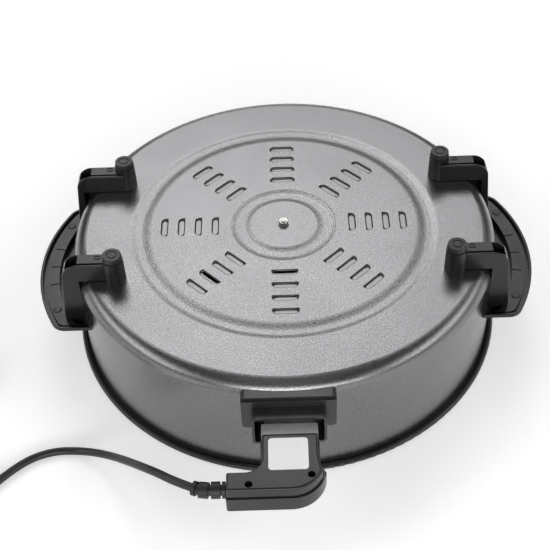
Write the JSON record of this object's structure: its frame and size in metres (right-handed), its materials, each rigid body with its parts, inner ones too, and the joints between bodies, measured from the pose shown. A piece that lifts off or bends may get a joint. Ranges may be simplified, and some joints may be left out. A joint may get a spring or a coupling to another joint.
{
  "type": "electric pan multicooker",
  "caption": "Large round electric pan with side handles on legs, slotted bottom and a plug-in temperature controller with its cord, stored rim down.",
  "frame": {"origin": "on the pan's axis, in the plane of the rim that it stands on", "axes": "+Z along the pan's axis towards the feet, -Y towards the socket and controller, +X towards the right handle as pictured"},
  "size_m": [0.6196, 0.4941, 0.142],
  "materials": {
    "coated_pan": "cast pan with a black coating",
    "hammered_shell": "light grey paint with a fine hammered speckle",
    "handle_plastic": "dark grey moulding, satin",
    "socket_plastic": "dark grey moulding, satin",
    "case_plastic": "dark grey moulding, satin",
    "nose_plastic": "grey moulding, dull",
    "dial_plastic": "black moulding",
    "block_plastic": "heat-resistant moulding, dull",
    "zinc_steel": "zinc plated",
    "baffle_sheet": "bare light sheet",
    "bare_aluminium": "as cast",
    "element_steel": "tempered sheath",
    "probe_steel": "polished",
    "nickel_pins": "nickel plated",
    "contact_brass": "bright",
    "foot_rubber": "dull",
    "relief_rubber": "dull",
    "cord_rubber": "satin",
    "tie_plastic": "dull",
    "plug_plastic": "satin",
    "lamp_lens": "clear amber"
  },
  "bodies": {
    "pan": {"cooking_pan": "coated_pan", "outer_shell": "hammered_shell", "left_handle": "handle_plastic", "right_handle": "handle_plastic", "handle_brackets": "zinc_steel", "handle_screws": "zinc_steel", "foot_screws": "zinc_steel", "foot_pads": "foot_rubber", "slot_baffle": "baffle_sheet", "heat_spreader": "bare_aluminium", "heating_element": "element_steel", "terminal_pins": "nickel_pins", "probe_guide": "element_steel", "probe_shoe": "bare_aluminium", "centre_stud": "zinc_steel", "centre_washer": "zinc_steel", "centre_nut": "zinc_steel", "socket_housing": "socket_plastic", "socket_screws": "zinc_steel", "terminal_block": "block_plastic"},
    "controller": {"controller_label_case": "case_plastic", "controller_dial_case": "case_plastic", "controller_nose": "nose_plastic", "contact_sleeves": "contact_brass", "probe_rod": "probe_steel", "case_screws": "zinc_steel", "thermostat_base": "block_plastic", "bimetal_blade": "contact_brass", "contact_blade": "contact_brass", "pilot_lamp_lens": "lamp_lens", "strain_relief": "relief_rubber", "cord_stretch": "cord_rubber", "cord_coil": "cord_rubber", "cord_tail": "cord_rubber", "cord_tie": "tie_plastic", "plug_body": "plug_plastic", "plug_pins": "nickel_pins"},
    "dial": {"dial_shaft": "dial_plastic", "dial_knob": "dial_plastic"}
  },
  "joints": [
    {"name": "controller_pull", "type": "slide", "parent": "pan", "child": "controller", "axis": [0, -1, 0], "range_m": [0, 0.075]},
    {"name": "dial_turn", "type": "hinge", "parent": "controller", "child": "dial", "pos_m": [0, -0.254, 0.055], "axis": [0, 0, 1], "range_deg": [0, 270]}
  ]
}
